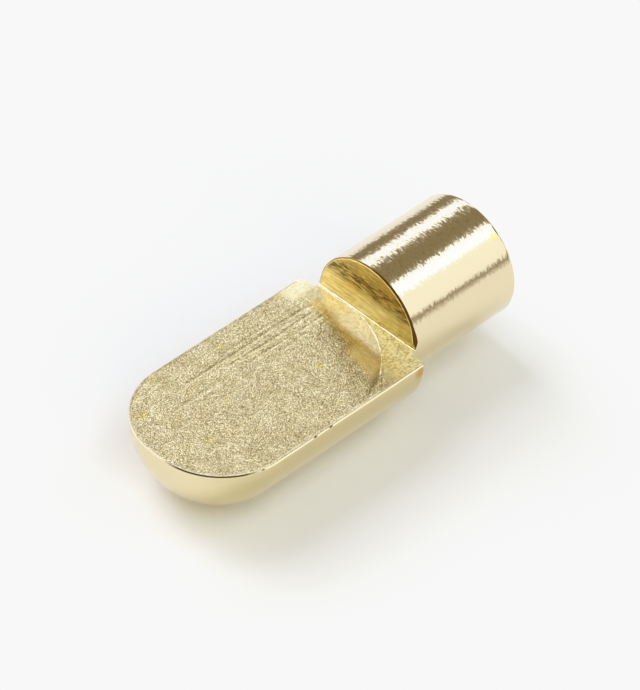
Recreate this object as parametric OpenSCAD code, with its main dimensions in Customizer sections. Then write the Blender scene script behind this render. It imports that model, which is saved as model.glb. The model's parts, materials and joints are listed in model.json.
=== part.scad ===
// Shelf support pin, one solid piece of brass.
//
// It is turned from round bar with its axis along X, then milled. The slimmer end is a pin that
// pushes into a hole in the cabinet side. The other end is a tongue with a rounded nose, milled
// down to a flat that carries the shelf. The cut runs a little way past the shoulder, so a half
// round wall stands on the pin at the end of the flat.
//
// Millimetres. The origin is on the axis, in the plane of the shoulder. +X runs out along the
// pin and +Z is up from the flat. The piece lies on its round belly.

/* [Pin] */
// Diameter of the pin that enters the cabinet side
pin_d = 6.35; // [4:0.05:7.8]
// Length of the pin from the shoulder to its free end
pin_len = 7.15; // [3:0.05:20]
// Width of the 45 degree chamfer round the free end
pin_chamfer = 0.22; // [0.05:0.01:1.5]

/* [Tongue] */
// Diameter of the bar that the tongue is made from
bar_d = 8.2; // [6.8:0.05:12]
// Length of the tongue from the shoulder to the tip of its nose
tongue_len = 13.3; // [6:0.05:30]
// Radius that rounds the side of the bar into the nose
nose_r = 3.75; // [0.5:0.05:4]
// Width of the edge break round the shoulder
shoulder_break = 0.08; // [0.02:0.01:0.4]

/* [Milled flat] */
// Height of the flat above the axis of the pin
flat_z = 0.05; // [-0.6:0.05:0.3]
// Distance that the cut runs past the shoulder, to the wall of the step
wall_x = 0.32; // [0.15:0.01:2]
// Fillet that the cutter leaves along the foot of the wall
wall_foot_r = 0.08; // [0.02:0.01:0.3]
// Edge break round the top of the wall
wall_break = 0.07; // [0.02:0.01:0.3]

/* [Finishing pass] */
// Diameter of the end mill that finishes the flat
mill_d = 10.4; // [9:0.1:20]
// Sideways offset of the end mill's axis from the axis of the pin
mill_y = 1.05; // [-1:0.05:1.5]
// Gap to the wall at which the finishing pass stops
mill_gap = 0.12; // [0.05:0.01:1]
// Height of the land that it leaves between its last place and the wall
land_h = 0.03; // [0.01:0.01:0.1]

/* [Hidden] */

brass = [0.80, 0.69, 0.42];
$fn = 180;

pin_r = pin_d / 2;
bar_r = bar_d / 2;
mill_r = mill_d / 2;

// Where the end mill's axis is when the finishing pass stops
mill_x = wall_x - mill_gap - mill_r;

// How far each cutting shape reaches past the bar
beyond = 1;

// The web that a radius r leaves in a square corner at the origin, or takes off it
module corner_web(r) {
    difference() {
        square(r);
        translate([r, r]) circle(r);
    }
}

// Half the section of the turned blank. X is the radius, and Y is the place along the axis.
module turned_profile() {
    difference() {
        polygon([
            [0, -tongue_len],
            [bar_r, -tongue_len],
            [bar_r, -shoulder_break],
            [bar_r - shoulder_break, 0],
            [pin_r, 0],
            [pin_r, pin_len - pin_chamfer],
            [pin_r - pin_chamfer, pin_len],
            [0, pin_len]
        ]);
        // The nose can't be rounder than the bar
        translate([bar_r, -tongue_len]) mirror([1, 0]) corner_web(min(nose_r, bar_r));
    }
}

// The blank as it leaves the lathe, along X
module turned_blank() {
    rotate([0, 90, 0]) rotate_extrude() turned_profile();
}

// The land outside the last place of the end mill: a narrow strip along the wall, which widens
// towards the sides of the tongue
module land() {
    translate([0, 0, flat_z]) linear_extrude(land_h)
        difference() {
            translate([mill_x, -bar_r - beyond]) square([wall_x - mill_x, bar_d + 2 * beyond]);
            translate([mill_x, mill_y]) circle(mill_r);
        }
}

// The fillet between the land and the wall. It can't be wider than the land.
module wall_foot() {
    length = bar_d + 2 * beyond;
    translate([wall_x, length / 2, flat_z + land_h]) rotate([90, 0, 0])
        linear_extrude(length) mirror([1, 0]) corner_web(min(wall_foot_r, 0.9 * mill_gap));
}

// A ring that breaks the edge round the top of the wall
module wall_edge() {
    rotate([0, 90, 0]) rotate_extrude()
        polygon([
            [pin_r - wall_break, wall_x],
            [pin_r + wall_break, wall_x],
            [pin_r + wall_break, wall_x + 2 * wall_break]
        ]);
}

// Everything that the mill takes away
module milled_cut() {
    difference() {
        translate([-tongue_len - beyond, -bar_r - beyond, flat_z])
            cube([tongue_len + beyond + wall_x, bar_d + 2 * beyond, bar_r + beyond]);
        land();
        wall_foot();
    }
    intersection() {
        wall_edge();
        translate([0, -bar_r, flat_z + land_h]) cube(bar_d);
    }
}

module support_pin() {
    color(brass)
        difference() {
            turned_blank();
            milled_cut();
        }
}

support_pin();
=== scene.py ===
"""Looks of the shelf support pin: one piece of turned and milled brass on a pale floor."""
import json
import math

import bmesh
import bpy
import numpy as np
from mathutils import Matrix, Vector


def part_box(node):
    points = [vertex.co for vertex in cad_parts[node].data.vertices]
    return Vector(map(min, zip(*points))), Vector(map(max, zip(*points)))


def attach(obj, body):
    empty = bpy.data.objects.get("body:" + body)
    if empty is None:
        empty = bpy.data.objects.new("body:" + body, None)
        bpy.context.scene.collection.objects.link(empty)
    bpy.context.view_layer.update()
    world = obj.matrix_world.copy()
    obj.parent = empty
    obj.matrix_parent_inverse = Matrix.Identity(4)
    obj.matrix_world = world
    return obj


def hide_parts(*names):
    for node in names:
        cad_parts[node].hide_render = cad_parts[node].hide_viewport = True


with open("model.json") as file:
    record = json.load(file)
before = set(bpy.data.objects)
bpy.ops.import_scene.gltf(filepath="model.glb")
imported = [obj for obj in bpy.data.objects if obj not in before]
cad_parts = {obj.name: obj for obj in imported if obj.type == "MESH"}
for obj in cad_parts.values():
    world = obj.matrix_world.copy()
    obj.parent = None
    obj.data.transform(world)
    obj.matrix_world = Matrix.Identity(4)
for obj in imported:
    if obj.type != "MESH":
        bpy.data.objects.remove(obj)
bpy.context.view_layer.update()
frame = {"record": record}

MM = 0.001
NODE = "support_pin"
MOUNTS = {mount["name"]: mount for mount in frame["record"]["mounts"]}
LOW, HIGH = (np.array(corner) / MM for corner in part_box(NODE))

# ---------------------------------------------------------------------------------------------
# Sizes in millimetres, in the frame of the CAD model: +X along the pin, +Z up from the flat
# ---------------------------------------------------------------------------------------------
PIN_R = MOUNTS["pin"]["dims"]["r_mm"]
PIN_END = HIGH[0]
BAR_R = -LOW[2]
TIP_X = LOW[0]
FLAT_Z = MOUNTS["shelf_rest"]["pos_m"][2] / MM
NOSE_R = 3.75  # arc that rounds the side of the bar into the nose
PIN_CHAMFER = 0.22  # round the free end
CHAMFER_SOFT = 0.03  # softening of that chamfer's edges
SHOULDER_BREAK = 0.08  # edge break round the shoulder
WALL_X = 0.32  # the wall at the end of the flat
WALL_FOOT_R = 0.03  # fillet at its foot
FOOT_X = WALL_X - WALL_FOOT_R
WALL_BREAK = 0.085  # edge break round its top
NEAR_WEAR = 0.09  # extra width of that edge break at its near foot
FAR_SHARE = 0.35  # share of its width that is missing on the far side
WALL_TAPER = 0.14  # angle in radians over which it fades out at its feet
WALL_LIP_W = 0.035  # width and height of the burr inside that edge break
WALL_LIP_H = 0.012
MILL_R = 5.175  # radius of the end mill that finished the flat
MILL_GAP = 0.07  # gap to the wall at which it stopped
MILL_X = WALL_X - MILL_GAP - MILL_R  # where its axis stopped
MILL_Y = 1.15
LAND_H = 0.03  # height of the land outside its last place

# Soft spots of stain and small nicks: (x, y, z, radius)
FLAT_SPOTS = [
    (-6.1, 3.25, 0.05, 0.30),
    (-10.0, 3.70, 0.05, 0.30),
    (-12.0, 2.30, 0.05, 0.35),
    (-10.9, 0.90, 0.05, 0.25),
    (-10.8, -0.95, 0.05, 0.35),
    (-3.65, -0.80, 0.05, 0.28),
    (-1.75, 3.90, 0.05, 0.30),
]
PIN_SPOTS = [(6.67, -1.87, 2.57, 0.34)]
SHOULDER_SPOTS = [(-0.26, -4.07, -0.32, 0.45)]
RIM_NICKS = [
    (-6.13, -4.07, 0.02, 0.12),
    (-7.11, -4.07, 0.02, 0.12),
    (-10.40, -4.05, 0.02, 0.14),
]

BRASS = (0.86, 0.755, 0.55, 1)

# Mesh density: rows run across the tongue, columns along it
TIP_ROWS = 5
NOSE_ROWS = 64
STRAIGHT_ROWS = 60
ARC_ROWS = 60
LAND_ROWS = 26
LEDGE_ROWS = 12
FOOT_ROWS = 5
PIN_ROWS = 64
WALL_ROWS = 40
END_ROWS = 29
SIDE_COLS = 16  # columns on each side, beyond the width of the pin
MIDDLE_COLS = 106  # columns across the width of the pin


def flat_half_width(radius, z=FLAT_Z):
    """Half the width of a round section of that radius, at height z above its axis."""
    return np.sqrt(radius**2 - z**2)


W_BAR = flat_half_width(BAR_R)
W_PIN = flat_half_width(PIN_R)


# ---------------------------------------------------------------------------------------------
# Relief of the milled flat
# ---------------------------------------------------------------------------------------------
def smooth(t):
    """Smooth step from 0 to 1."""
    t = np.clip(t, 0, 1)
    return t * t * (3 - 2 * t)


def arc_x(y):
    """Where the edge of the end mill's last place crosses a line of that y."""
    return MILL_X + np.sqrt(np.maximum(MILL_R**2 - (y - MILL_Y) ** 2, 0))


def ripple(x, y, wavelengths, count, seed):
    """Sum of plane waves with random directions and phases, about 1 high at its highest."""
    rng = np.random.default_rng(seed)
    total = np.zeros(np.broadcast(x, y).shape)
    for _ in range(count):
        k = 2 * math.pi / rng.uniform(*wavelengths)
        heading, phase = rng.uniform(0, 2 * math.pi, 2)
        total += np.sin(k * (x * math.cos(heading) + y * math.sin(heading)) + phase)
    return total / math.sqrt(2 * count)


# Furrows that the cutter dragged along the flat: (y, half width, depth, from x, to x)
FURROWS = [
    (2.42, 0.09, 0.0132, -9.8, -0.9),
    (1.95, 0.07, 0.0114, -7.4, -1.1),
    (2.20, 0.06, 0.0060, -8.6, -1.6),
    (1.50, 0.07, 0.0090, -6.2, -0.7),
    (1.12, 0.06, 0.0048, -5.0, -0.9),
    (2.75, 0.07, 0.0054, -7.0, -2.0),
    (3.05, 0.06, 0.0036, -5.5, -1.8),
    (1.72, 0.06, 0.0042, -4.4, -0.9),
    (1.50, 0.07, 0.0060, -11.2, -8.0),
    (0.60, 0.08, 0.0030, -9.0, -5.5),
]


def land_edge(x, y):
    """The step up from the end mill's last place. Past its axis it runs along the wall. It is
    crisp, but on the near side it fades into a wide, shallow trough."""
    beyond = y > MILL_Y
    reach = np.where(beyond, x - MILL_X, np.hypot(x - MILL_X, y - MILL_Y)) - MILL_R
    bearing = np.where(beyond, 0, np.degrees(np.arctan2(y - MILL_Y, x - MILL_X)))
    crisp = smooth((bearing + 58) / 9)
    width = 0.026 * crisp + 0.4 * (1 - crisp)
    rise = LAND_H * smooth((bearing + 75) / 35)
    groove = 0.003 * crisp * np.exp(-(((reach + 0.03) / 0.02) ** 2))
    trough = 0.008 * smooth((bearing + 88) / 12) * smooth((-48 - bearing) / 8)
    trough = trough * np.exp(-((reach / 0.13) ** 2))
    return (rise * smooth(reach / width + 0.5) - groove - trough) * (x > MILL_X)


def relief(x, y):
    """Height of the milled surface above the plane of the flat."""
    height = land_edge(x, y)
    calm = 0.2 + 0.8 * smooth((-0.8 - x) / 1.0)
    height += 0.0013 * calm * ripple(x, y, (0.35, 0.9), 40, seed=3)
    height += 0.0032 * ripple(x, y, (1.6, 4.5), 24, seed=4)
    for y0, half, depth, x0, x1 in FURROWS:
        wander = 0.03 * np.sin(x * 1.3 + y0 * 5)
        along = smooth((x - x0) / 0.8) * smooth((x1 - x) / 0.5)
        height -= depth * along * np.exp(-(((y - y0 - wander) / half) ** 2))
    return height


# ---------------------------------------------------------------------------------------------
# Mesh: grids of points that share their edges, welded into one closed surface
# ---------------------------------------------------------------------------------------------
# The last material paints shade on the edge break round the wall
TURNED, MILLED, WALL, FACED, RIMMED, SHADE_EDGE = range(6)
WELD = 1e-4  # points closer than this are one
SHARP_DEGREES = 32


def worn_corner(points):
    """Rounds the far corner of the shoulder, which is worn."""
    reach, depth, wear = 0.5, 0.9, (0.10, 0.09, 0.03)
    x, y, z = points.T
    near = np.clip(1 - np.hypot(x, y - W_BAR) / reach, 0, 1) ** 2
    near *= smooth(1 + (z - FLAT_Z) / depth)
    return points - near[:, None] * wear


class Surface:
    """Collects grids and polygons of points, each with the index of its material."""

    def __init__(self):
        self.points, self.faces, self.materials = [], [], []

    def grid(self, points, material):
        """points is rows x columns x 3, in millimetres."""
        points = np.asarray(points, float)
        rows, cols = points.shape[:2]
        start = len(self.points)
        self.points.extend(points.reshape(-1, 3))
        for i in range(rows - 1):
            for j in range(cols - 1):
                a = start + i * cols + j
                self.faces.append((a, a + 1, a + cols + 1, a + cols))
                self.materials.append(material)

    def polygon(self, points, material):
        """points is a list of points in order round one face."""
        start = len(self.points)
        self.points.extend(np.asarray(points, float))
        self.faces.append(tuple(range(start, start + len(points))))
        self.materials.append(material)

    def build(self, name):
        """The object, with its grids welded together along their shared edges."""
        mesh = bpy.data.meshes.new(name)
        points = worn_corner(np.array(self.points))
        mesh.from_pydata((points * MM).tolist(), [], self.faces)
        mesh.polygons.foreach_set("material_index", self.materials)
        bm = bmesh.new()
        bm.from_mesh(mesh)
        bmesh.ops.remove_doubles(bm, verts=bm.verts, dist=WELD * MM)
        bmesh.ops.dissolve_degenerate(bm, edges=bm.edges, dist=WELD * MM)
        bmesh.ops.recalc_face_normals(bm, faces=bm.faces)
        bm.to_mesh(mesh)
        bm.free()
        mesh.polygons.foreach_set("use_smooth", [True] * len(mesh.polygons))
        mesh.set_sharp_from_angle(angle=math.radians(SHARP_DEGREES))
        return bpy.data.objects.new(name, mesh)


def tongue_radius(x):
    """Radius of the turned tongue at a place along the axis."""
    into_nose = np.clip(NOSE_R - (x - TIP_X), 0, NOSE_R)
    turned = BAR_R - NOSE_R + np.sqrt(NOSE_R**2 - into_nose**2)
    return np.minimum(turned, BAR_R - np.maximum(x + SHOULDER_BREAK, 0))


def columns():
    """Places across the flat, from -1 to 1, with one on each side at the width of the pin."""
    edge = W_PIN / W_BAR
    side = np.linspace(edge, 1, SIDE_COLS + 1)
    middle = np.linspace(-edge, edge, MIDDLE_COLS + 1)
    return np.concatenate([-side[::-1], middle[1:-1], side])


U = columns()
COLS = len(U) - 1
LEFT, RIGHT = SIDE_COLS, SIDE_COLS + MIDDLE_COLS  # the columns at the sides of the pin
MIDDLE = slice(LEFT, RIGHT + 1)
AT_SIDES = np.abs(U) >= U[RIGHT] - 1e-9
ROWS = NOSE_ROWS + 1 + STRAIGHT_ROWS + ARC_ROWS + LAND_ROWS

# The burr along the rim of the flat: (distance in from the side, height above the flat), from
# the flat outward. The turned surface starts RIM_DROP below the flat.
RIM = [(0.12, 0.0), (0.065, 0.003), (0.035, 0.003)]
RIM_DROP = 0.07


def closing_up(count):
    """Shares of a distance, up to 1, that lie closer together towards its end."""
    return 1 - (1 - np.linspace(0, 1, count + 1)[1:]) ** 1.6


def between(first, last, count):
    """Evenly spaced rows from one row of points to another."""
    return [first + (last - first) * share for share in np.linspace(0, 1, count + 1)]


def ring(x, radius, angles):
    """Points round the axis, at angles from +Y towards +Z."""
    x = np.broadcast_to(x, angles.shape)
    return np.stack([x, radius * np.cos(angles), radius * np.sin(angles)], 1)


def angle_of(point):
    """Angle of a point round the axis, from +Y towards +Z."""
    return math.atan2(point[2], point[1])


def nose_rows(inset):
    """(x, half width) of the rows in the nose, on an outline that distance inside the real one."""
    turn = np.linspace(0, math.pi / 2, NOSE_ROWS + 1)
    radius = NOSE_R - inset
    x = TIP_X + inset + radius * (1 - np.cos(turn))
    half = BAR_R - NOSE_R + radius * np.sin(turn)
    return x, flat_half_width(half)


def across(half):
    """y of the columns on a row of that half width: even between the sides of the pin."""
    share = (np.abs(U) - U[RIGHT]) / (1 - U[RIGHT])
    beside = np.sign(U) * (W_PIN + share * (half - W_PIN))
    return np.where(AT_SIDES, beside, U * W_BAR)


def flat_points(inset):
    """Rows of (x, y) on the flat up to the end mill's last place, and the x of its arc."""
    x_nose, half_nose = nose_rows(inset)
    rows = [np.stack([np.full(U.shape, x), U * half], 1) for x, half in zip(x_nose, half_nose)]
    y = across(W_BAR - inset)
    straight_end = MILL_X - 0.4
    for x in np.linspace(x_nose[-1], straight_end, STRAIGHT_ROWS + 1)[1:]:
        rows.append(np.stack([np.full(U.shape, x), y], 1))
    # Rows that bend round to follow the arc, closer together beside it
    arc = arc_x(U * W_BAR)
    for share in closing_up(ARC_ROWS):
        rows.append(np.stack([straight_end + (arc - straight_end) * share, y], 1))
    return rows, arc


def end_of_rows():
    """x where the land's rows end at each column: the shoulder at the sides, and a line on the
    ledge between them that meets it."""
    arc = arc_x(U * W_BAR)
    share = np.ones(U.shape)
    first = (0 - arc[LEFT]) / (FOOT_X - arc[LEFT])
    last = (0 - arc[RIGHT]) / (FOOT_X - arc[RIGHT])
    along = (U - U[LEFT]) / (U[RIGHT] - U[LEFT])
    share[MIDDLE] = first + (last - first) * along[MIDDLE]
    end = np.zeros(U.shape)
    end[MIDDLE] = arc[MIDDLE] + share[MIDDLE] * (FOOT_X - arc[MIDDLE])
    return end


def land_points(inset, arc):
    """Rows on the land, from the end mill's last place to the shoulder or the ledge, closer
    together beside that place. At the sides the last two rows are the shoulder's edge break."""
    end = end_of_rows()
    stop = np.where(AT_SIDES, -SHOULDER_BREAK, end)
    steps = np.where(AT_SIDES, LAND_ROWS - 1, LAND_ROWS)
    rows = []
    for k in range(1, LAND_ROWS + 1):
        share = k / steps
        even = arc + (stop - arc) * share
        close = np.minimum(arc + 0.012 * k**1.25, even)
        x = end if k == LAND_ROWS else close + (even - close) * share**2
        half = flat_half_width(BAR_R - (SHOULDER_BREAK if k == LAND_ROWS else 0)) - inset
        rows.append(np.stack([x, across(half)], 1))
    return rows


def milled_rows(inset):
    """All the rows of (x, y) on the flat and the land, with their ends that far in."""
    rows, arc = flat_points(inset)
    return rows + land_points(inset, arc)


def on_pin(points):
    """Narrows rows of points so that their ends lie on the round of the pin."""
    narrowing = np.sqrt(PIN_R**2 - points[..., 2] ** 2) / W_PIN
    return points * np.stack([np.ones(narrowing.shape), narrowing, np.ones(narrowing.shape)], -1)


def lift(rows, rim_height=0.0):
    """Adds the height of the milled surface to rows of (x, y)."""
    points = np.array(rows)
    z = FLAT_Z + relief(points[..., 0], points[..., 1]) + rim_height
    return np.concatenate([points, z[..., None]], 2)


def milled_flat():
    """The flat and the land, with their side at the first point of the rim."""
    flat = lift(milled_rows(RIM[0][0]))
    flat[-1, MIDDLE] = on_pin(flat[-1, MIDDLE])
    return flat


def ledge_rows(start):
    """The ledge on the pin, from the last row of the land to the foot of the wall."""
    y = U[MIDDLE] * W_BAR
    rows = [start]
    for share in closing_up(LEDGE_ROWS):
        x = start[:, 0] + (FOOT_X - start[:, 0]) * share
        rows.append(on_pin(np.stack([x, y, FLAT_Z + relief(x, y)], 1)))
    return rows


def foot_fillet(foot_row):
    """The fillet at the foot of the wall."""
    y = U[MIDDLE] * W_BAR
    rows = [foot_row]
    for turn in np.linspace(0, math.pi / 2, FOOT_ROWS + 1)[1:]:
        x = np.full(y.shape, FOOT_X + WALL_FOOT_R * math.sin(turn))
        z = foot_row[:, 2] + WALL_FOOT_R * (1 - math.cos(turn))
        rows.append(on_pin(np.stack([x, y, z], 1)))
    return rows


def wall_arc(chord):
    """The wall's arc, from its near foot over the top to its far foot: its angles, how far the
    burr and the edge break have faded in at each, and the width of the edge break there."""
    angles = np.linspace(angle_of(chord[0]), angle_of(chord[-1]), MIDDLE_COLS + 1)
    taper = smooth(np.minimum(angles[0] - angles, angles - angles[-1]) / WALL_TAPER)
    near_foot = smooth((angles - angles[0] + 0.45) / 0.40)
    far_side = smooth((2.1 - angles) / 0.8)
    width = (WALL_BREAK * (1 - FAR_SHARE * far_side) + NEAR_WEAR * near_foot) * taper
    return angles, taper, width


def add_wall(surface, chord, angles, taper, width):
    """The wall above its foot fillet, with the burr and the edge break round its arc."""
    lip_foot = ring(WALL_X, PIN_R - width - WALL_LIP_W * taper, angles)
    lip = ring(WALL_X - WALL_LIP_H * taper, PIN_R - width, angles)
    surface.grid(between(chord, lip_foot, WALL_ROWS), WALL)
    surface.grid([lip_foot, lip], RIMMED)
    # The edge break round the arc gets the painted-shade material
    surface.grid([lip, ring(WALL_X + width, PIN_R, angles)], SHADE_EDGE)


def pin_beside(rows):
    """The pin below the ledge and its fillet, round from the near end of each row to its far
    end."""
    around = []
    for row in rows:
        sweep = np.linspace(angle_of(row[0]), angle_of(row[-1]) + 2 * math.pi, COLS + 1)
        around.append(ring(row[0, 0], PIN_R, sweep))
    return around


def add_pin(surface, angles, width):
    """The rest of the pin, all the way round, with its chamfer and its end face."""
    lower = np.linspace(angles[0], angles[-1] + 2 * math.pi, COLS + 1)
    around = np.concatenate([angles[::-1], lower[1:]])
    start = np.concatenate([(WALL_X + width)[::-1], np.full(COLS, WALL_X)])
    chamfer_x = PIN_END - PIN_CHAMFER
    chamfer_r = PIN_R - PIN_CHAMFER
    profile = [
        (chamfer_x + CHAMFER_SOFT, PIN_R - 0.4 * CHAMFER_SOFT),
        (PIN_END - CHAMFER_SOFT, chamfer_r + 0.6 * CHAMFER_SOFT),
        (PIN_END, chamfer_r - 0.6 * CHAMFER_SOFT),
    ]
    shares = np.linspace(0, 1, PIN_ROWS + 1)
    shell = [ring(start + (chamfer_x - start) * share, PIN_R, around) for share in shares]
    shell += [ring(x, radius, around) for x, radius in profile]
    surface.grid(shell, TURNED)
    end_radii = np.linspace(profile[-1][1], 0, END_ROWS + 1)
    surface.grid([ring(PIN_END, radius, around) for radius in end_radii], FACED)


def rim_loop(inset, height):
    """The rim at one inset: up the left side to the tip, across it, and back along the right."""
    points = lift(milled_rows(inset), height)
    return np.concatenate([points[::-1, 0], points[0, 1:-1], points[:, -1]])


def rim_loops():
    """Loops round the rim, from the flat out to the turned surface of the tongue."""
    outline = rim_loop(0.0, 0.0)
    x, y, z = outline.T
    z = z - RIM_DROP
    at_side = np.ones(len(outline), bool)
    at_side[ROWS:-ROWS] = False
    turned_y = np.sign(y) * np.sqrt(np.maximum(tongue_radius(x) ** 2 - z**2, 0))
    turned = np.stack([x, np.where(at_side, turned_y, y), z], 1)
    return [rim_loop(*step) for step in RIM] + [turned]


def belly_rows(rim):
    """The turned surface of the tongue below the rim, round from each point on the near side
    of the rim to the one opposite."""
    rows = []
    for near, far in zip(rim[ROWS - 1::-1], rim[-ROWS:]):
        start = angle_of(near)
        start = start if start > 0 else start + 2 * math.pi
        sweep = np.linspace(start, angle_of(far) + 2 * math.pi, COLS + 1)
        x = np.linspace(near[0], far[0], COLS + 1)
        rows.append(ring(x, tongue_radius(x), sweep))
    return rows


def add_shoulder(surface, bar_arc, pin_arc, flat, loops):
    """The shoulder, from the bar to the pin, and the thin strips beside the flat's corners."""
    shoulder = between(bar_arc, pin_arc, SIDE_COLS)
    surface.grid(shoulder, FACED)
    for end, flat_edge in ((0, flat[-1, LEFT::-1]), (-1, flat[-1, RIGHT:])):
        rim_end = [loop[end] for loop in loops[1:]]
        radial = [row[end] for row in shoulder[1:-1]]
        surface.polygon([*flat_edge, *rim_end, *radial], FACED)


def build_pin():
    """The whole piece as one closed surface."""
    surface = Surface()
    flat = milled_flat()
    surface.grid(flat, MILLED)
    ledge = ledge_rows(flat[-1, MIDDLE])
    surface.grid(ledge, MILLED)
    fillet = foot_fillet(ledge[-1])
    surface.grid(fillet, RIMMED)
    angles, taper, width = wall_arc(fillet[-1])
    add_wall(surface, fillet[-1], angles, taper, width)
    beside = pin_beside(ledge + fillet[1:])
    surface.grid(beside, TURNED)
    add_pin(surface, angles, width)

    loops = rim_loops()
    surface.grid(loops[:2], MILLED)
    surface.grid(loops[1:], RIMMED)
    belly = belly_rows(loops[-1])
    surface.grid(belly, TURNED)
    tip_chord = loops[-1][ROWS - 1:1 - ROWS]
    surface.grid(between(tip_chord, belly[0], TIP_ROWS), TURNED)
    add_shoulder(surface, belly[-1], beside[0], flat, loops)
    return surface.build("brass_pin")


# ---------------------------------------------------------------------------------------------
# Materials: masks run from 0 to 1, places and distances are in millimetres, and colours are
# linear
# ---------------------------------------------------------------------------------------------
def feed(tree, socket, value):
    """Links an input to another socket, or sets it to a constant."""
    if isinstance(value, bpy.types.NodeSocket):
        tree.links.new(value, socket)
    else:
        socket.default_value = value


def add(tree, kind, inputs=None, **settings):
    """A node with its settings and its inputs, each of them a socket or a constant."""
    node = tree.nodes.new(kind)
    for key, value in settings.items():
        setattr(node, key, value)
    for key, value in (inputs or {}).items():
        feed(tree, node.inputs[key], value)
    return node


def brass(name, roughness):
    """Plain metallic brass, with its node tree and its shader."""
    material = bpy.data.materials.new(name)
    material.use_nodes = True
    tree = material.node_tree
    tree.nodes.clear()
    shader = add(tree, "ShaderNodeBsdfPrincipled", {
        "Metallic": 1.0,
        "Base Color": BRASS,
        "Roughness": roughness,
    })
    output = add(tree, "ShaderNodeOutputMaterial")
    feed(tree, output.inputs["Surface"], shader.outputs[0])
    return material, tree, shader


def math_node(tree, operation, *values, clamp=False):
    """The result of an operation on numbers, each of them a socket or a constant."""
    node = add(tree, "ShaderNodeMath", dict(enumerate(values)), operation=operation)
    node.use_clamp = clamp
    return node.outputs[0]


def vector_math(tree, operation, *values, scale=None, output="Vector"):
    """The result of an operation on vectors, each of them a socket or a constant."""
    inputs = dict(enumerate(values))
    if scale is not None:
        inputs["Scale"] = scale
    return add(tree, "ShaderNodeVectorMath", inputs, operation=operation).outputs[output]


def times(tree, first, *others):
    """The product of masks and numbers."""
    for other in others:
        first = math_node(tree, "MULTIPLY", first, other)
    return first


def highest(tree, first, *others):
    """The highest of some masks and numbers at each point."""
    for other in others:
        first = math_node(tree, "MAXIMUM", first, other)
    return first


def fade(tree, value, start, end):
    """Smooth step: 0 at start, 1 at end."""
    return add(tree, "ShaderNodeMapRange", {
        "Value": value, "From Min": start, "From Max": end,
    }, interpolation_type="SMOOTHSTEP").outputs[0]


def close_to(tree, value, middle, reach, full):
    """1 within full of the middle, on either side of it, and 0 beyond reach."""
    off_middle = math_node(tree, "SUBTRACT", value, middle)
    return fade(tree, math_node(tree, "ABSOLUTE", off_middle), reach, full)


def mix_colour(tree, mask, first, second):
    """The first colour where the mask is 0, and the second where it is 1."""
    inputs = {"Factor": mask, 6: first, 7: second}
    return add(tree, "ShaderNodeMix", inputs, data_type="RGBA").outputs[2]


def place(tree):
    """Position on the piece."""
    coordinates = add(tree, "ShaderNodeTexCoord").outputs["Object"]
    return vector_math(tree, "MULTIPLY", coordinates, (1 / MM, 1 / MM, 1 / MM))


def axes(tree):
    """X, Y and Z on the piece."""
    return add(tree, "ShaderNodeSeparateXYZ", {0: place(tree)}).outputs


def stretched_noise(tree, per_mm, detail=2.0, roughness=0.5, output="Fac"):
    """Noise with its own number of features a millimetre along X, Y and Z."""
    mapping = add(tree, "ShaderNodeMapping", {
        "Vector": add(tree, "ShaderNodeTexCoord").outputs["Object"],
        "Scale": [count / MM for count in per_mm],
    })
    return add(tree, "ShaderNodeTexNoise", {
        "Vector": mapping.outputs[0], "Scale": 1.0, "Detail": detail, "Roughness": roughness,
    }).outputs[output]


def spots(tree, places):
    """1 at the middle of each soft, ragged spot: (x, y, z, radius)."""
    ragged = stretched_noise(tree, (5, 5, 5), detail=2)
    masks = []
    for *centre, radius in places:
        distance = vector_math(tree, "DISTANCE", place(tree), centre, output="Value")
        torn = math_node(tree, "MULTIPLY_ADD", ragged, -0.8 * radius, distance)
        masks.append(fade(tree, torn, 0.6 * radius, 0.0))
    return highest(tree, *masks)


def span(tree, x, y):
    """Length of a line that reaches that far along X and along Y."""
    line = add(tree, "ShaderNodeCombineXYZ", {0: x, 1: y}).outputs[0]
    return vector_math(tree, "LENGTH", line, output="Value")


def rim_inset(tree, x, y):
    """Distance in from the turned side of the tongue, as seen from above."""
    past_x = math_node(tree, "SUBTRACT", x, TIP_X + NOSE_R)
    past_y = math_node(tree, "SUBTRACT", math_node(tree, "ABSOLUTE", y), BAR_R - NOSE_R)
    from_centre = span(tree, math_node(tree, "MINIMUM", past_x, 0.0), highest(tree, past_y, 0.0))
    return math_node(tree, "SUBTRACT", NOSE_R, from_centre)


def mill_distance(tree, x, y):
    """Distance from the axis of the end mill's last place, or along X only where the cut ran
    on past that axis."""
    past_x = math_node(tree, "SUBTRACT", x, MILL_X)
    past_y = math_node(tree, "SUBTRACT", y, MILL_Y)
    return span(tree, highest(tree, past_x, 0.0), math_node(tree, "MINIMUM", past_y, 0.0))


def surface_normal(tree):
    """The normal of the surface as it was modelled."""
    return add(tree, "ShaderNodeNewGeometry").outputs["Normal"]


def leaning(tree, normal, offset, amount):
    """The normal leaned over by an offset times an amount."""
    lean = vector_math(tree, "SCALE", offset, scale=amount)
    return vector_math(tree, "NORMALIZE", vector_math(tree, "ADD", normal, lean))


def scored(tree, lines, axis, amount):
    """A normal tipped to and fro along an axis, across fine lines given as noise."""
    offset = vector_math(tree, "SCALE", axis, scale=math_node(tree, "SUBTRACT", lines, 0.5))
    return leaning(tree, surface_normal(tree), offset, amount)


def facets(tree, per_mm, tilt, normal):
    """A normal tilted at random from one tiny grain of metal to the next."""
    grains = add(tree, "ShaderNodeTexVoronoi", {"Vector": place(tree), "Scale": per_mm})
    centred = vector_math(tree, "ADD", grains.outputs["Color"], (-0.5, -0.5, -0.5))
    return leaning(tree, normal, centred, tilt)


def bump(tree, height, depth):
    """A normal bumped by a height from 0 to 1 times a depth."""
    inputs = {"Height": height, "Distance": depth * MM, "Strength": 1.0}
    return add(tree, "ShaderNodeBump", inputs).outputs[0]


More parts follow.
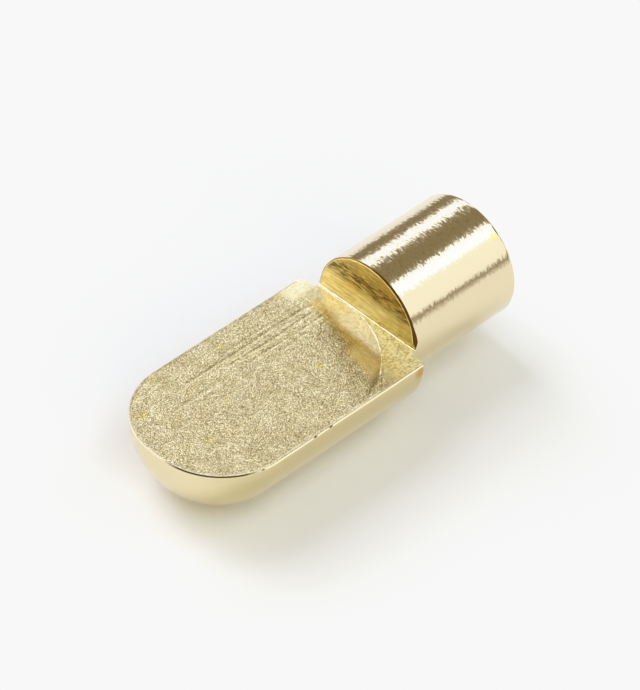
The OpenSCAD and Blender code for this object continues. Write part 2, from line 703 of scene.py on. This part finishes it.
def turned_brass():
    """Bright brass with fine lines round the axis, left by the lathe tool, and a few spots.
    Painted shade makes its lower side and the tongue darker and yellower, and darkens lines on top
    of the pin.
    """
    material, tree, shader = brass("turned_brass", 0.15)
    x, _, z = axes(tree)
    lines = stretched_noise(tree, (16, 4, 4), detail=3, roughness=0.6, output="Color")
    offset = vector_math(tree, "MULTIPLY_ADD", lines, (1.0, 0.56, 0.56), (-0.5, -0.28, -0.28))
    depth = math_node(tree, "MULTIPLY_ADD", fade(tree, z, 1.9, 2.4), 0.2, 0.3)
    feed(tree, shader.inputs["Normal"], leaning(tree, surface_normal(tree), offset, depth))

    # Painted shade: the lower side is darker and yellower, where it reflects the shaded floor
    colour = mix_colour(tree, fade(tree, z, 1.9, 1.0), BRASS, (0.825, 0.715, 0.465, 1))
    # Painted shade: the tongue, all but its tip, is darker and yellower, where it reflects the
    # shaded floor
    tongue = times(tree, fade(tree, x, -13.4, -11.6), fade(tree, x, 0.05, -0.05))
    colour = mix_colour(tree, tongue, colour, (0.78, 0.665, 0.385, 1))
    # Darker lathe lines on top of the pin, where it reflects the dim room: partly grain, partly
    # painted shade
    fine = stretched_noise(tree, (13, 5, 5), detail=4, roughness=0.8)
    lines_and_painted_shade = times(tree, fade(tree, fine, 0.50, 0.62), fade(tree, z, 2.5, 2.8), 0.35)
    colour = mix_colour(tree, lines_and_painted_shade, colour, (0.48, 0.38, 0.20, 1))
    yellow = times(tree, spots(tree, PIN_SPOTS), 0.9)
    colour = mix_colour(tree, yellow, colour, (0.88, 0.80, 0.32, 1))
    brown = times(tree, spots(tree, SHOULDER_SPOTS), 0.95)
    colour = mix_colour(tree, brown, colour, (0.68, 0.40, 0.12, 1))
    feed(tree, shader.inputs["Base Color"], colour)
    return material


class MilledZones:
    """Masks of the zones of the milled flat, with the places and the noise they come from."""

    def __init__(self, tree):
        self.x, self.y, _ = axes(tree)
        self.slanted = math_node(tree, "MULTIPLY_ADD", self.y, -0.2, self.x)
        self.near = fade(tree, self.y, -0.4, -1.4)
        self.lines = stretched_noise(tree, (11, 1.4, 1.4), detail=5, roughness=0.8)
        ragged = stretched_noise(tree, (1.6, 1.6, 1.6), detail=4, roughness=0.6)
        self.uneven_x = math_node(tree, "MULTIPLY_ADD", ragged, 0.8, self.x)
        self.beside = fade(tree, self.uneven_x, -1.45, -0.4)  # beside the wall
        self.corner = times(tree, fade(tree, self.y, 2.9, 3.4), fade(tree, self.x, -1.9, -1.1))

        # The two sides of the edge of the end mill's last place, and a painted highlight along
        # that edge itself
        self.edge = mill_distance(tree, self.x, self.y)
        self.inside = fade(tree, self.edge, MILL_R + 0.02, MILL_R - 0.03)
        outside = fade(tree, self.edge, MILL_R - 0.03, MILL_R + 0.02)
        self.on_land = times(tree, outside, fade(tree, self.uneven_x, -2.0, -0.9))
        bright_edge = close_to(tree, self.edge, MILL_R - 0.01, 0.055, 0.02)
        self.painted_edge_highlight = times(tree, bright_edge, fade(tree, self.y, -2.6, -1.4))

        # Painted highlight along the rim, painted gold reflection of the wall, and the pale
        # painted sheen
        self.painted_rim_highlight = self.rim(tree)
        self.painted_gold_reflection = self.gold_reflection_band(tree)
        self.pale_painted_sheen = self.painted_sheen(tree)

    def rim(self, tree):
        """Where a highlight is painted bright along the flat's rim."""
        along = fade(tree, rim_inset(tree, self.x, self.y), 0.17, 0.08)
        broken = fade(tree, self.lines, 0.35, 0.60)
        return times(tree, along, fade(tree, self.y, 3.6, 1.5), 0.6, broken)

    def gold_reflection_band(self, tree):
        """A painted reflection of the gold wall: a golden band inside the edge of the end mill's
        last place.
        """
        ragged = math_node(tree, "MULTIPLY_ADD", self.lines, 0.5, self.slanted)
        narrowed = math_node(tree, "MULTIPLY_ADD", self.near, 0.35, ragged)
        band = times(tree, fade(tree, narrowed, -1.55, -1.05), fade(tree, ragged, -0.50, -0.90))
        far_end, near_end = fade(tree, self.y, 2.9, 2.2), fade(tree, self.y, -3.6, -3.0)
        return times(tree, band, self.inside, far_end, near_end)

    def painted_sheen(self, tree):
        """Where the flat is made pale and less metallic, by how much: painted highlights beside
        the wall, on the land there, along the rim and along the edge of the last place, part of
        the painted gold reflection, and the worn far corner.
        """
        torn = math_node(tree, "MULTIPLY_ADD", self.lines, 0.7, self.uneven_x)
        patch = fade(tree, torn, -0.80, -0.05)
        patch = times(tree, patch, self.inside, fade(tree, self.y, 1.9, 0.5))
        by_wall = times(tree, self.beside, highest(tree, patch, 0.45))
        near_gold = times(tree, self.painted_gold_reflection, self.near, 0.5)
        return highest(tree, by_wall, self.on_land, self.corner, self.painted_edge_highlight, self.painted_rim_highlight,
                       near_gold)


def milled_normal(tree, zones):
    """The grain of the end mill's face. It is calmer at the worn far corner and beside the
    wall, and at that corner the surface leans outward."""
    calm = highest(tree, times(tree, zones.corner, 0.7),
                   times(tree, zones.beside, zones.inside, 0.5))
    uneven = stretched_noise(tree, (0.9, 0.9, 0.9), detail=2)
    tilt = times(tree, math_node(tree, "SUBTRACT", 1.0, calm),
                 math_node(tree, "MULTIPLY_ADD", uneven, 0.36, 0.14))
    outward = math_node(tree, "MULTIPLY_ADD", zones.corner, 0.022, -0.010)
    worn = leaning(tree, surface_normal(tree), (1, 1, 0), outward)
    return facets(tree, 41, tilt, worn)


def milled_colour(tree, zones):
    """Cloudy brass, paler where highlights are painted, golden beside the wall and on the land
    there as a painted reflection of the wall, with a painted golden band inside the edge and a
    painted highlight along it.
    """
    clouds = stretched_noise(tree, (1.2, 1.2, 1.2), detail=3, roughness=0.6)
    cloudy = fade(tree, clouds, 0.35, 0.65)
    colour = mix_colour(tree, cloudy, (0.785, 0.675, 0.39, 1), (0.865, 0.77, 0.48, 1))
    # Painted reflection of the wall: golden beside it
    colour = mix_colour(tree, zones.beside, colour, (0.98, 0.87, 0.50, 1))
    # Painted highlight: paler where the sheen mask is high
    colour = mix_colour(tree, zones.pale_painted_sheen, colour, (1.0, 0.92, 0.62, 1))
    # Painted reflection of the wall on the land beside it, golden to pale
    by_wall = fade(tree, zones.x, -1.4, -0.3)
    land = mix_colour(tree, by_wall, (0.97, 0.80, 0.34, 1), (1.0, 0.91, 0.50, 1))
    colour = mix_colour(tree, zones.on_land, colour, land)
    # Painted gold reflection of the wall inside the edge
    colour = mix_colour(tree, times(tree, zones.painted_gold_reflection, 0.85), colour, (0.97, 0.74, 0.25, 1))
    # Painted highlight along the edge of the last place
    return mix_colour(tree, zones.painted_edge_highlight, colour, (1.0, 0.97, 0.85, 1))


def darker_lines(tree, zones, colour):
    """Darker lines inside the edge of the mill's last place, partly grain and partly painted shade
    of the dark reflection beside the pale patch, and painted shade where that edge fades away into
    its trough.
    """
    # Darker band inside the edge: painted shade where the flat reflects darkly, lined by grain
    band = times(tree, fade(tree, zones.slanted, -1.9, -1.5),
                 fade(tree, zones.slanted, -0.85, -1.15))
    band = times(tree, band, zones.inside, fade(tree, zones.y, 2.4, 1.4))
    strength = math_node(tree, "MULTIPLY_ADD", zones.near, -0.45, 0.70)
    lined = times(tree, band, fade(tree, zones.lines, 0.42, 0.60), strength)
    colour = mix_colour(tree, lined, colour, (0.42, 0.31, 0.11, 1))
    # Painted shade where the edge fades into its trough
    painted_trough_shade = close_to(tree, zones.edge, MILL_R - 0.06, 0.38, 0.0)
    painted_trough_shade = times(tree, painted_trough_shade, fade(tree, zones.y, -2.6, -3.1), 0.7)
    painted_trough_shade = times(tree, painted_trough_shade, fade(tree, zones.x, -3.9, -2.4))
    return mix_colour(tree, painted_trough_shade, colour, (0.36, 0.28, 0.12, 1))


def specks_and_stains(tree, zones, colour):
    """Dark specks all over, coarser ones beside the wall, a few stains, and the painted highlight
    along the rim.
    """
    fine = stretched_noise(tree, (14, 14, 14), detail=4, roughness=0.85)
    specks = times(tree, fade(tree, fine, 0.47, 0.58), 0.38)
    colour = mix_colour(tree, specks, colour, (0.42, 0.33, 0.14, 1))
    coarse = stretched_noise(tree, (8, 8, 8), detail=3, roughness=0.8)
    strength = math_node(tree, "MULTIPLY_ADD", zones.inside, -0.37, 0.75)
    strength = times(tree, strength, highest(tree, zones.on_land, zones.beside))
    specks = times(tree, fade(tree, coarse, 0.48, 0.58), strength)
    colour = mix_colour(tree, specks, colour, (0.42, 0.31, 0.09, 1))
    stains = times(tree, spots(tree, FLAT_SPOTS), 0.55)
    colour = mix_colour(tree, stains, colour, (0.80, 0.66, 0.22, 1))
    # Painted highlight along the rim
    return mix_colour(tree, zones.painted_rim_highlight, colour, (1.0, 0.90, 0.64, 1))


def milled_brass():
    """Brass with a fine grain all over, from the face of the end mill. It is smoother at the worn
    far corner and beside the wall, where it is also pale and less metallic, as a painted
    highlight."""
    material, tree, shader = brass("milled_brass", 0.17)
    zones = MilledZones(tree)
    feed(tree, shader.inputs["Normal"], milled_normal(tree, zones))
    # Less metallic where highlights are painted
    metal = math_node(tree, "MULTIPLY_ADD", zones.pale_painted_sheen, -0.6, 1.0)
    feed(tree, shader.inputs["Metallic"], metal)
    colour = milled_colour(tree, zones)
    colour = darker_lines(tree, zones, colour)
    colour = specks_and_stains(tree, zones, colour)
    feed(tree, shader.inputs["Base Color"], colour)
    return material


def wall_brass():
    """Deeper yellow brass with straight cutter lines across the wall and a darker torn band."""
    material, tree, shader = brass("wall_brass", 0.22)
    _, y, z = axes(tree)
    streaks = stretched_noise(tree, (1, 0.9, 11), detail=6, roughness=0.8)
    feed(tree, shader.inputs["Normal"], scored(tree, streaks, (0, 0, 1), 0.6))

    blotches = stretched_noise(tree, (1, 1.1, 1.8), detail=4, roughness=0.6)
    slope = math_node(tree, "MULTIPLY_ADD", y, -0.15, -0.45)
    slope = math_node(tree, "MULTIPLY_ADD", z, 0.30, slope)
    deep = math_node(tree, "MULTIPLY_ADD", blotches, 1.1, slope, clamp=True)
    colour = mix_colour(tree, deep, (1.0, 0.91, 0.50, 1), (0.54, 0.42, 0.13, 1))
    tilted = math_node(tree, "MULTIPLY_ADD", y, -0.03, z)
    torn = stretched_noise(tree, (1, 1.6, 10), detail=6, roughness=0.85)
    dark = times(tree, close_to(tree, tilted, 1.86, 0.80, 0.25), fade(tree, torn, 0.44, 0.54))
    colour = mix_colour(tree, dark, colour, (0.12, 0.07, 0.015, 1))
    fine = stretched_noise(tree, (1, 0.8, 22), detail=5, roughness=0.8)
    scratched = times(tree, fade(tree, fine, 0.49, 0.57), 0.54)
    colour = mix_colour(tree, scratched, colour, (0.24, 0.155, 0.035, 1))
    feed(tree, shader.inputs["Base Color"], colour)
    return material


def faced_brass():
    """Brass with fine rings round the axis, from facing on the lathe."""
    material, tree, shader = brass("faced_brass", 0.22)
    flattened = vector_math(tree, "MULTIPLY", place(tree), (0, 1, 1))
    radius = vector_math(tree, "LENGTH", flattened, output="Value")
    rings = add(tree, "ShaderNodeTexNoise", {
        "W": radius, "Scale": 9.0, "Detail": 3.0,
    }, noise_dimensions="1D").outputs["Fac"]
    feed(tree, shader.inputs["Normal"], bump(tree, rings, 0.010))
    return material


def rim_brass():
    """The burr along the rim: a painted highlight on its pale, less metallic outer edge, with a
    thin brown line of painted shade inside it along the near side. Round the near side of the nose
    that edge is painted dull and dark as shade, and a few nicks are dull and dark too."""
    material, tree, shader = brass("rim_brass", 0.2)
    x, y, _ = axes(tree)
    # Painted highlight on the outer edge of the burr
    outer = fade(tree, rim_inset(tree, x, y), 0.045, 0.030)
    near_nose = times(tree, fade(tree, y, -0.2, -1.4), fade(tree, x, -10.2, -11.3))
    near_side = times(tree, fade(tree, y, -3.6, -3.9), fade(tree, x, -10.4, -9.6))
    # Painted shade round the near side of the nose, together with real nicks
    dark = highest(tree, times(tree, near_nose, outer), spots(tree, RIM_NICKS))
    # Metal taken away where highlight and shade are painted
    painted_not_metal = highest(tree, times(tree, outer, 0.6), dark)
    feed(tree, shader.inputs["Metallic"], math_node(tree, "SUBTRACT", 1.0, painted_not_metal))
    feed(tree, shader.inputs["Specular IOR Level"], 0.1)

    # Pale painted highlight, broken into darker patches by noise
    highlight_breaks = stretched_noise(tree, (3, 3, 3), detail=4, roughness=0.7)
    uneven = fade(tree, highlight_breaks, 0.52, 0.66)
    colour = mix_colour(tree, uneven, (0.96, 0.90, 0.70, 1), (0.50, 0.41, 0.20, 1))
    colour = mix_colour(tree, outer, colour, (0.98, 0.89, 0.63, 1))
    # Painted shade: a thin brown line inside the highlight on the near side
    painted_shade_line = math_node(tree, "SUBTRACT", near_side, outer, clamp=True)
    colour = mix_colour(tree, times(tree, painted_shade_line, 0.9), colour, (0.24, 0.17, 0.06, 1))
    colour = mix_colour(tree, dark, colour, (0.075, 0.048, 0.014, 1))
    feed(tree, shader.inputs["Base Color"], colour)
    return material


def shade_edge_brass():
    """The edge break round the wall, painted dull and dark brown as shade, darkest on its near
    side.
    """
    material, tree, shader = brass("shade_edge_brass", 0.6)
    feed(tree, shader.inputs["Metallic"], 0.0)
    feed(tree, shader.inputs["Specular IOR Level"], 0.0)
    _, y, _ = axes(tree)
    ragged = times(tree, stretched_noise(tree, (4, 4, 4), detail=4), 2.0)
    # Painted shade, darkest on the near side
    near = fade(tree, math_node(tree, "ADD", y, ragged), 2.6, 0.2)
    colour = mix_colour(tree, near, (0.36, 0.24, 0.08, 1), (0.10, 0.050, 0.008, 1))
    feed(tree, shader.inputs["Base Color"], colour)
    return material


# ---------------------------------------------------------------------------------------------
# Studio
# ---------------------------------------------------------------------------------------------
def direction(azimuth, elevation):
    """Unit vector towards a place given in degrees: azimuth from +X towards +Y."""
    a, e = math.radians(azimuth), math.radians(elevation)
    return Vector((math.cos(a) * math.cos(e), math.sin(a) * math.cos(e), math.sin(e)))


def softbox(name, centre, facing, width, height, radiance, colour=(1, 1, 1)):
    """Rectangular light at centre, facing the given point, with its width level."""
    data = bpy.data.lights.new(name, "AREA")
    data.shape = "RECTANGLE"
    data.size, data.size_y = width, height
    data.energy = radiance * math.pi * width * height
    data.color = colour
    light = bpy.data.objects.new(name, data)
    light.location = centre
    light.rotation_euler = (Vector(facing) - Vector(centre)).to_track_quat("-Z", "Y").to_euler()
    bpy.context.scene.collection.objects.link(light)


def floor():
    """A wide white floor under the piece."""
    size = 1.5
    mesh = bpy.data.meshes.new("floor")
    z = LOW[2] * MM
    corners = [(-size, -size, z), (size, -size, z), (size, size, z), (-size, size, z)]
    mesh.from_pydata(corners, [], [(0, 1, 2, 3)])
    material = bpy.data.materials.new("floor_white")
    material.use_nodes = True
    shader = material.node_tree.nodes["Principled BSDF"]
    shader.inputs["Base Color"].default_value = (0.86, 0.86, 0.86, 1)
    shader.inputs["Roughness"].default_value = 0.9
    shader.inputs["Specular IOR Level"].default_value = 0.0
    mesh.materials.append(material)
    plane = bpy.data.objects.new("floor", mesh)
    bpy.context.scene.collection.objects.link(plane)


def panel(name, azimuth, width, low, high, radiance, colour):
    """Upright softbox a metre away, between two elevations in degrees."""
    bottom, top = (math.tan(math.radians(elevation)) for elevation in (low, high))
    middle = Vector((0, 0, (bottom + top) / 2))
    softbox(name, direction(azimuth, 0) + middle, middle, width, top - bottom, radiance, colour)


def room():
    """A dim, warm room round the lights, which the camera itself sees as pale."""
    world = bpy.data.worlds.new("room")
    world.use_nodes = True
    tree = world.node_tree
    tree.nodes.clear()
    path = add(tree, "ShaderNodeLightPath")
    dim, bright = (0.272, 0.222, 0.130, 1), (0.9, 0.9, 0.9, 1)
    walls = add(tree, "ShaderNodeBackground", {"Color": dim, "Strength": 1.0})
    pale = add(tree, "ShaderNodeBackground", {"Color": bright, "Strength": 1.0})
    mix = add(tree, "ShaderNodeMixShader", {
        0: path.outputs["Is Camera Ray"], 1: walls.outputs[0], 2: pale.outputs[0],
    })
    tree.links.new(mix.outputs[0], add(tree, "ShaderNodeOutputWorld").inputs["Surface"])
    bpy.context.scene.world = world


def studio():
    """Softboxes all round the piece, in a dim room."""
    origin = (0, 0, 0)
    panel("far_strip", 60, 1.4, 24.7, 42.6, 1.40, (0.91, 1.0, 1.18))
    panel("near_fill", -48, 0.7, 9.7, 49.0, 0.90, (0.94, 1.0, 1.03))
    panel("near_skirt", -48, 0.9, 0.2, 3.6, 0.40, (1.0, 1.0, 1.0))
    panel("near_low", 250, 1.0, 8, 34, 2.8, (1.10, 1.0, 0.69))
    panel("back_low", 112, 1.0, 6, 24, 0.9, (1.02, 1.0, 0.35))
    softbox("key", direction(92, 46), origin, 0.55, 0.9, 2.55, (0.97, 1.0, 1.24))
    softbox("key_side", direction(110, 46), origin, 0.55, 0.9, 0.82, (0.90, 1.0, 1.10))
    softbox("left", direction(147, 48), origin, 1.1, 0.8, 0.54, (1.12, 1.0, 0.90))
    softbox("camera_side", direction(240, 53), origin, 0.7, 0.7, 1.8, (0.76, 1.0, 1.28))
    softbox("overhead", (0.7, -0.43, 1.0), (0.7, -0.43, 0), 1.0, 0.45, 1.6, (0.90, 1.0, 1.13))
    room()


def exposure():
    """A tone curve that holds the floor just under white, as a levelled studio photograph."""
    view = bpy.context.scene.view_settings
    view.view_transform = "Standard"
    view.use_curve_mapping = True
    view.curve_mapping.white_level = (2, 2, 2)
    curve = view.curve_mapping.curves[3]
    for level, shown in ((0.46, 0.92), (0.49, 0.938), (0.56, 0.942), (0.70, 0.99)):
        curve.points.new(level, shown)
    for point in curve.points:
        point.handle_type = "VECTOR"
    view.curve_mapping.update()


def camera():
    """The view from above the nose, on its near side, aimed at the middle of the piece."""
    aim = Vector((-2.595, 0.184, 0.0)) * MM
    azimuth, elevation, roll = (math.radians(degrees) for degrees in (-46.64, 42.778, 2.657))
    distance = 0.2802
    back = Vector((
        math.sin(azimuth) * math.cos(elevation),
        -math.cos(azimuth) * math.cos(elevation),
        math.sin(elevation),
    ))
    level = Vector((math.cos(azimuth), math.sin(azimuth), 0))
    up = Matrix.Rotation(roll, 3, back) @ back.cross(level)
    right = up.cross(back)
    data = bpy.data.cameras.new("camera")
    data.lens = 314.85
    data.clip_start, data.clip_end = 0.01, 20
    view = bpy.data.objects.new("camera", data)
    turn = Matrix((right, up, back)).transposed()
    view.matrix_world = Matrix.Translation(aim + back * distance) @ turn.to_4x4()
    bpy.context.scene.collection.objects.link(view)
    bpy.context.scene.camera = view


camera()
floor()
studio()
exposure()
pin = build_pin()
for make in (turned_brass, milled_brass, wall_brass, faced_brass, rim_brass, shade_edge_brass):
    pin.data.materials.append(make())
bpy.context.scene.collection.objects.link(pin)
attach(pin, "root")
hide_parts(NODE)
